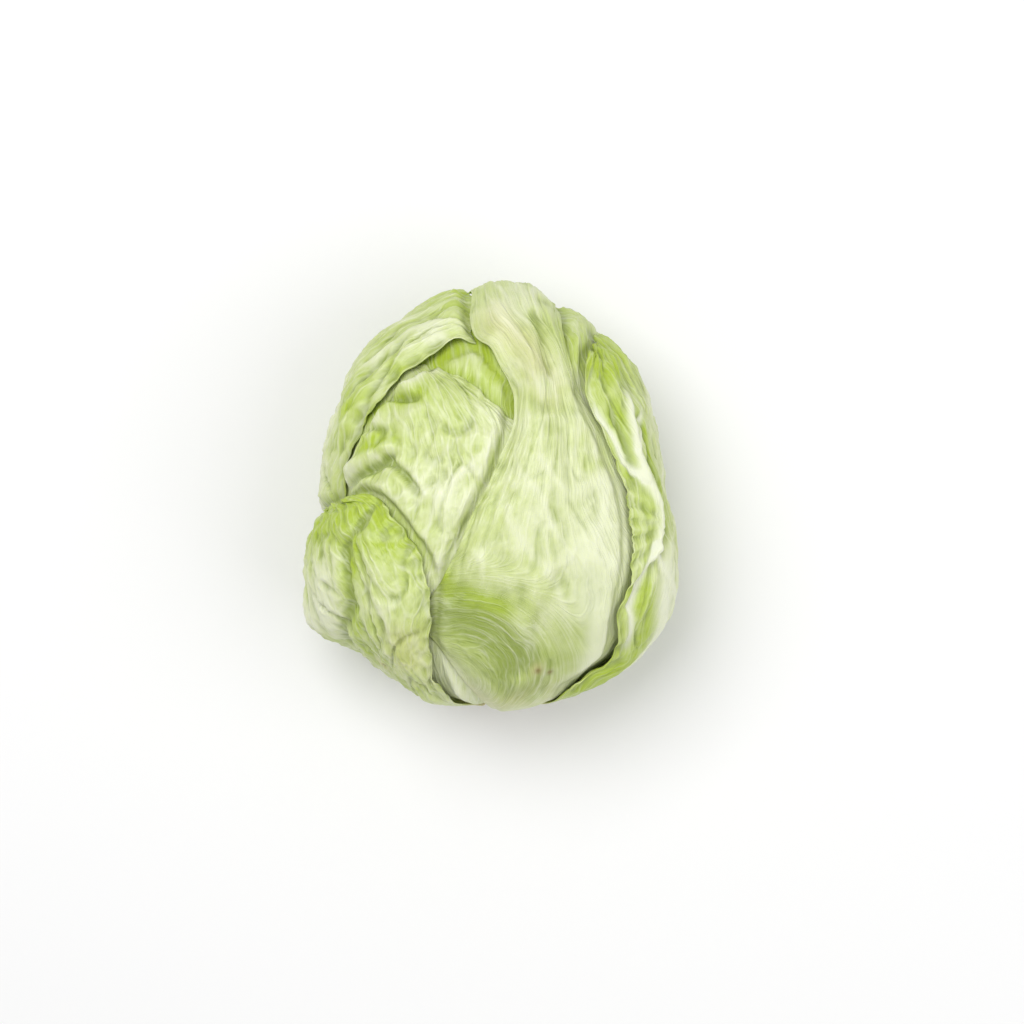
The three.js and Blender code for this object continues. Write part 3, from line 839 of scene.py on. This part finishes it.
# The crown leaf: an outer leaf that wraps the left side from the stem and reaches the crown. Its edge is
# pleated, and runs along the upper left of the head.
wrap_leaf(
    "crown_leaf", leaf_skin("crown leaf"), fine_grid,
    ruffle=0.8, waves=17, crumple=2, loft=0.8, crinkle=1.4, blister=0.4, green=0.4,
    folds=[
        (2, 3.5, (-68, 28), (-56, 48), (-45, 60), (-35, 67), (-29, 74)),
        (-3, 2.2, (-62, 48), (-52, 60), (-42, 68), (-34, 76)),
    ],
    greens=[
        (0.5, 8, (-70, 30), (-60, 50)),
        (0.5, 6, (-42, 62), (-36, 68)),
        (-0.6, 9, (-24, 76), (-16, 78)),
        (-0.2, 12, (-76, 20)),
    ],
    # painted shade in the hollow beside the pleat
    darks=[(0.35, 3, (-42, 64), (-36, 69))],
)

# The front leaf: the large, smooth, pale leaf over the middle. It is darker and streaked with fibres where it
# bends round to the stem, and the fibres curl there in arcs.
wrap_leaf(
    "front_leaf", leaf_skin("front leaf", fibre=0.2, veining=0.12, patchy=0.6), fine_grid,
    flare=0.2, ruffle=0.8, crumple=1.2, loft=1, crinkle=0.4, blister=0.2, green=0.2, margin_green=0.15,
    folds=[
        (1.6, 4, (6, 84), (16, 70), (22, 56), (26, 40)),
        (1.6, 3.5, (28, 86), (32, 70), (36, 54), (40, 40)),
        (-2, 2.5, (20, 84), (26, 68), (30, 52)),
        (3, 14, (6, 90), (26, 88)),
    ],
    greens=[
        (0.9, 6, (-26, -28), (-18, -39), (-2, -45), (14, -48)),
        (0.4, 18, (-8, -54), (6, -64), (14, -74)),
        (0.4, 4, (43, 17), (54, 14)),
        (0.25, 12, (34, -62), (26, -76)),
        (-0.25, 16, (46, 0), (46, -30)),
    ],
    # darker where the leaf bends round to the stem, and down its lower right
    darks=[
        (1.3, 13, (-14, -50), (0, -57), (10, -68), (15, -80)),
        (0.3, 13, (42, -48), (38, -64), (30, -78)),
    ],
    warms=[
        (0.3, 9, (4, 80), (18, 70), (26, 52)),
        (0.25, 9, (-14, -88), (4, -92), (22, -88)),
        (0.5, 3, (22, -75)),
    ],
    fibres=[(0.8, 18, (-16, -46), (0, -56), (10, -70), (16, -86))],
    specks=[(22.3, -75.8), (27.7, -76.7)],
    curl=(20, 38, -20, -82),
)

# The ribbed leaf: an outer leaf along the right side, stiffened by a thick white midrib that rises from the
# stem and branches. The blade between the branches is green and puckered.
wrap_leaf(
    "ribbed_leaf", leaf_skin("ribbed leaf"), fine_grid,
    flare=0.1, ruffle=1.2, waves=16, crumple=1.6, loft=1.8, crinkle=0.8, blister=0.4,
    folds=[
        (-4, 1.8, (66, 36), (69, 18), (75, 2)),
        (-4, 1.6, (62.5, 12), (59, 24), (55.5, 36), (52, 46)),
        (2, 5, (54, 56), (52, 66)),
        (2, 4, (70, 50), (72, 36)),
    ],
    ribs=[
        (1.8, 4.5, (64, -80), (71, -62), (76, -46), (77, -32)),
        (3.4, 2.1, (71, -24), (73, -8), (71.5, -1), (66.5, 9), (63, 22), (61, 36), (60, 52)),
        (2.2, 1.5, (66, 9), (59.5, 17), (54.5, 29), (50, 38), (46, 47)),
        (1.4, 1.5, (63.5, 22), (66, 32), (67, 44)),
        (1.8, 1.2, (71, -18), (66.5, -34), (62.5, -47), (60, -68)),
        (1.6, 1.4, (71, -18), (76, -29), (80, -46)),
    ],
    greens=[
        (0.6, 10, (54, 60), (62, 58)),
        (0.7, 4, (66, 36), (70, 18), (77, -2)),
        (0.7, 3.5, (62, 12), (57.5, 28), (54, 48)),
        (0.5, 6, (68, -40), (68, -58), (64, -74)),
        (0.6, 7, (62, -79), (30, -86)),
        (-0.5, 7, (77, -26), (79, -56)),
    ],
    # painted shade along the two fold valleys
    darks=[
        (0.6, 2, (62.5, 13), (59, 25), (55.5, 36), (51, 46)),
        (0.8, 2.2, (66, 36), (69, 18), (75, 2)),
    ],
)

# The hood leaf: the outermost leaf, grown from the stem and wrapped over the lower left. It ends halfway up
# the head and is crumpled into lobes, with green valleys between them.
wrap_leaf(
    "hood_leaf", leaf_skin("hood leaf"), fine_grid,
    flare=0.1, ruffle=0.9, waves=13, crumple=3, loft=2, crinkle=1.1, blister=0.45, green=0.42,
    folds=[
        (6, 11, (-77, -54)),
        (-4, 4, (-62, -22), (-59, -44), (-61, -66)),
        (2.5, 5, (-50, -16), (-44, -34), (-43, -54)),
        (-3, 3, (-52, -2), (-58, -12), (-62, -22)),
    ],
    greens=[
        (0.5, 8, (-76, -10), (-62, -4), (-52, -4)),
        (0.5, 4, (-48, -6), (-30, -24)),
        (-0.45, 8, (-70, -24), (-68, -54)),
        (0.8, 4.5, (-60, -20), (-57, -44), (-50, -80)),
        (-0.4, 9, (-42, -28), (-36, -64)),
        (0.5, 5, (-76, -64)),
    ],
    # painted shade in the valley between two lobes
    darks=[(0.35, 3, (-57, -34), (-56, -50))],
    warms=[(0.4, 4, (-47, -72)), (0.25, 8, (-34, -56), (-32, -74))],
)

# The surface it lies on, and the light: a pale floor under broad, soft lamps.
floor_half = 10.0
floor_colour = (0.86, 0.86, 0.86, 1)
lamp_aim = (0, 0, 0.05)
sky_strength = 0.5

floor_corners = [(-floor_half, -floor_half, 0), (floor_half, -floor_half, 0)]
floor_corners += [(floor_half, floor_half, 0), (-floor_half, floor_half, 0)]
floor_mesh = bpy.data.meshes.new("floor")
floor_mesh.from_pydata(floor_corners, [], [(0, 1, 2, 3)])
floor_mesh.materials.append(Material("floor").finish({"Base Color": floor_colour, "Roughness": 0.8}))
floor = bpy.data.objects.new("floor", floor_mesh)
bpy.context.scene.collection.objects.link(floor)


def add_lamp(name, place, size, power):
    """A square area lamp at place that faces the head."""
    lamp = bpy.data.lights.new(name, "AREA")
    lamp.size = size
    lamp.energy = power
    obj = bpy.data.objects.new(name, lamp)
    obj.location = place
    obj.rotation_euler = (Vector(lamp_aim) - Vector(place)).to_track_quat("-Z", "Y").to_euler()
    bpy.context.scene.collection.objects.link(obj)


add_lamp("overhead", (-0.4, 0.45, 1.35), size=0.9, power=13)
add_lamp("fill", (0.9, -0.3, 1.1), size=1.2, power=7)
world = bpy.data.worlds.new("studio")
world.use_nodes = True
sky = world.node_tree.nodes["Background"]
sky.inputs["Color"].default_value = (1, 1, 1, 1)
sky.inputs["Strength"].default_value = sky_strength
bpy.context.scene.world = world
bpy.context.scene.view_settings.view_transform = "Standard"

# The camera looks straight down from about a metre, and the head's crown is at the top of the picture.
photo_scale = 0.446  # millimetres a pixel where the head is widest
widest_height = 60
picture_width = 1024
camera_height = 1110
head_pixel = (489, 502)
sensor_width = 36
farthest_seen = 20

camera_data = bpy.data.cameras.new("camera")
camera_data.sensor_width = sensor_width
camera_data.lens = sensor_width * (camera_height - widest_height) / (photo_scale * picture_width)
camera_data.clip_end = farthest_seen
camera = bpy.data.objects.new("camera", camera_data)
camera.location = (
    (picture_width / 2 - head_pixel[0]) * photo_scale * mm,
    (head_pixel[1] - picture_width / 2) * photo_scale * mm,
    camera_height * mm,
)
bpy.context.scene.collection.objects.link(camera)
bpy.context.scene.camera = camera
